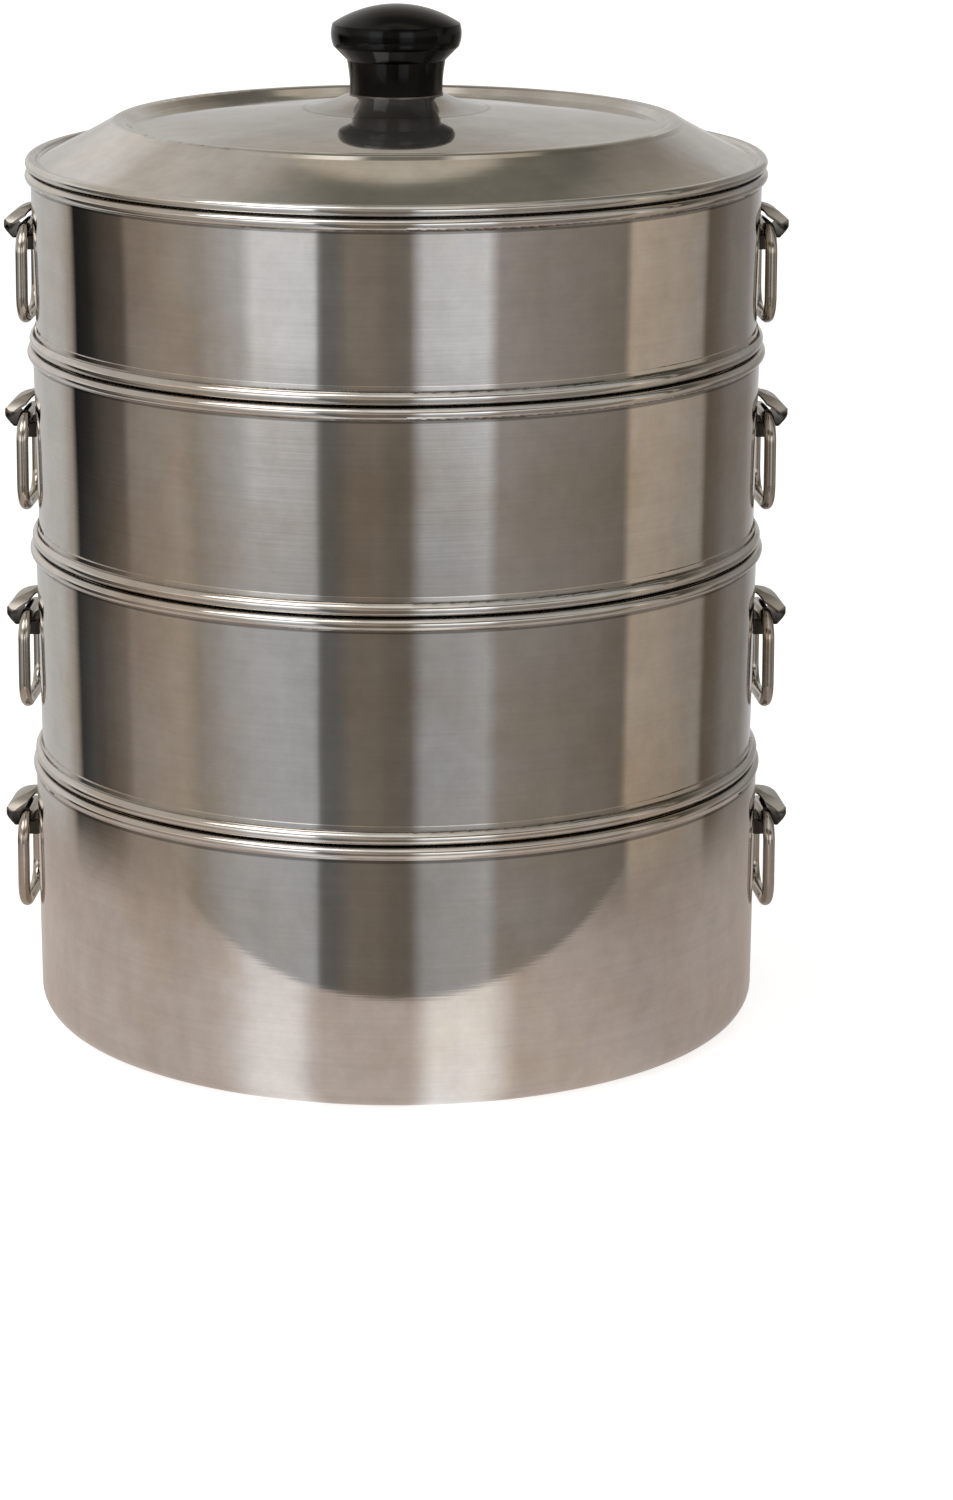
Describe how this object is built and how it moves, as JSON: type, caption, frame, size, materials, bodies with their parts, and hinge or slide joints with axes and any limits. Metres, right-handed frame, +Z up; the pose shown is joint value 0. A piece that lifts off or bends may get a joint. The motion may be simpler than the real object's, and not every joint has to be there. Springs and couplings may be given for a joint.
{
  "type": "steamer pot",
  "caption": "Stacked steamer pot: deep base pan, nesting perforated tiers with swinging wire loop handles in folded brackets, and a ridged lid with a turned knob.",
  "frame": {"origin": "centre of the base pot's underside, on the surface that it stands on", "axes": "+Z up along the pot's axis, -Y to the front, +X to the right as seen from the front"},
  "size_m": [0.3284, 0.303, 0.4194],
  "materials": {
    "base": "rolled, bright",
    "tier": "rolled, bright",
    "lid": "polished",
    "handle_wire": "polished",
    "handle_bracket": "polished",
    "fastener": "plain",
    "knob": "satin"
  },
  "bodies": {
    "base": {"base_pot": "base", "base_left_bracket": "handle_bracket", "base_right_bracket": "handle_bracket"},
    "tier_1": {"tier_1_wall": "tier", "tier_1_floor": "tier", "tier_1_left_bracket": "handle_bracket", "tier_1_right_bracket": "handle_bracket"},
    "tier_2": {"tier_2_wall": "tier", "tier_2_floor": "tier", "tier_2_left_bracket": "handle_bracket", "tier_2_right_bracket": "handle_bracket"},
    "tier_3": {"tier_3_wall": "tier", "tier_3_floor": "tier", "tier_3_left_bracket": "handle_bracket", "tier_3_right_bracket": "handle_bracket"},
    "lid": {"lid_shell": "lid", "lid_locating_ring": "lid", "knob": "knob", "knob_cap": "knob", "knob_washer": "fastener", "knob_screw": "fastener", "screw_washer": "fastener"},
    "base_left_handle": {"base_left_loop": "handle_wire"},
    "base_right_handle": {"base_right_loop": "handle_wire"},
    "tier_1_left_handle": {"tier_1_left_loop": "handle_wire"},
    "tier_1_right_handle": {"tier_1_right_loop": "handle_wire"},
    "tier_2_left_handle": {"tier_2_left_loop": "handle_wire"},
    "tier_2_right_handle": {"tier_2_right_loop": "handle_wire"},
    "tier_3_left_handle": {"tier_3_left_loop": "handle_wire"},
    "tier_3_right_handle": {"tier_3_right_loop": "handle_wire"}
  },
  "joints": [
    {"name": "tier_1_lift", "type": "slide", "parent": "base", "child": "tier_1", "axis": [0, 0, 1], "range_m": [0, 0.12]},
    {"name": "tier_2_lift", "type": "slide", "parent": "tier_1", "child": "tier_2", "axis": [0, 0, 1], "range_m": [0, 0.12]},
    {"name": "tier_3_lift", "type": "slide", "parent": "tier_2", "child": "tier_3", "axis": [0, 0, 1], "range_m": [0, 0.12]},
    {"name": "lid_lift", "type": "slide", "parent": "tier_3", "child": "lid", "axis": [0, 0, 1], "range_m": [0, 0.15]},
    {"name": "base_right_handle_hinge", "type": "hinge", "parent": "base", "child": "base_right_handle", "pos_m": [0.15477, 0.01354, 0.0777], "axis": [0.0872, -0.9962, 0], "range_deg": [-0.5, 170]},
    {"name": "base_left_handle_hinge", "type": "hinge", "parent": "base", "child": "base_left_handle", "pos_m": [-0.15477, 0.01354, 0.0777], "axis": [0.0872, 0.9962, 0], "range_deg": [-0.5, 170]},
    {"name": "tier_1_right_handle_hinge", "type": "hinge", "parent": "tier_1", "child": "tier_1_right_handle", "pos_m": [0.15314, 0.0134, 0.1645], "axis": [0.0872, -0.9962, 0], "range_deg": [-0.5, 170]},
    {"name": "tier_1_left_handle_hinge", "type": "hinge", "parent": "tier_1", "child": "tier_1_left_handle", "pos_m": [-0.15314, 0.0134, 0.1645], "axis": [0.0872, 0.9962, 0], "range_deg": [-0.5, 170]},
    {"name": "tier_2_right_handle_hinge", "type": "hinge", "parent": "tier_2", "child": "tier_2_right_handle", "pos_m": [0.15251, 0.01334, 0.2487], "axis": [0.0872, -0.9962, 0], "range_deg": [-0.5, 170]},
    {"name": "tier_2_left_handle_hinge", "type": "hinge", "parent": "tier_2", "child": "tier_2_left_handle", "pos_m": [-0.15251, 0.01334, 0.2487], "axis": [0.0872, 0.9962, 0], "range_deg": [-0.5, 170]},
    {"name": "tier_3_right_handle_hinge", "type": "hinge", "parent": "tier_3", "child": "tier_3_right_handle", "pos_m": [0.15166, 0.01327, 0.3274], "axis": [0.0872, -0.9962, 0], "range_deg": [-0.5, 170]},
    {"name": "tier_3_left_handle_hinge", "type": "hinge", "parent": "tier_3", "child": "tier_3_left_handle", "pos_m": [-0.15166, 0.01327, 0.3274], "axis": [0.0872, 0.9962, 0], "range_deg": [-0.5, 170]}
  ]
}
